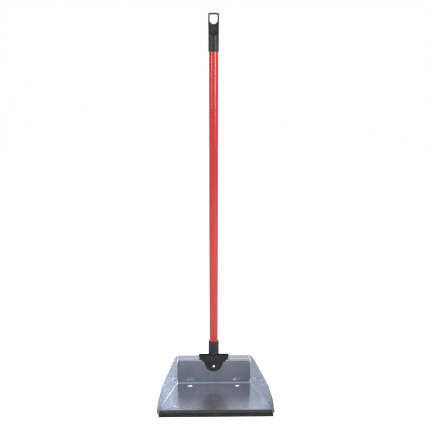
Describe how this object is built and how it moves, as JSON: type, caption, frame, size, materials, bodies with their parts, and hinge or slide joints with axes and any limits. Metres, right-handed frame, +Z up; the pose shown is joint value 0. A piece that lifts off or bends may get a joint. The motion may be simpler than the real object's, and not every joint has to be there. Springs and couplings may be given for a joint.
{
  "type": "long-handled dustpan",
  "caption": "Upright galvanised dustpan with a rubber front lip and a long red tube handle that ends in a hanging loop.",
  "frame": {"origin": "bottom centre of the whole object: the middle of its box across and front to back, on the ground", "axes": "+Z up along the handle's side, -Y out of the pan's mouth, +X to the right of someone facing the mouth's back wall"},
  "size_m": [0.27, 0.2674, 0.9153],
  "materials": {
    "galvanised_sheet": "zinc-coated sheet, half mirror, faint spangle and fine rolling lines",
    "lip_rubber": "extruded soft rubber, dull",
    "black_plastic": "injection-moulded, satin, fine grain",
    "rivet_steel": "plated, bright",
    "red_enamel": "glossy plastic film on steel tube",
    "grey_plastic": "injection-moulded, plain"
  },
  "bodies": {
    "pan": {"pan_sheet": "galvanised_sheet", "rubber_lip": "lip_rubber", "socket_bracket": "black_plastic", "bracket_rivet": "rivet_steel", "rivet_washer": "rivet_steel"},
    "handle": {"handle_tube": "red_enamel", "tube_foot_plug": "grey_plastic", "hanging_cap": "black_plastic"}
  },
  "joints": [
    {"name": "handle_pull", "type": "slide", "parent": "pan", "child": "handle", "axis": [0, -0.0785, 0.9969], "range_m": [0, 0.0445]}
  ]
}
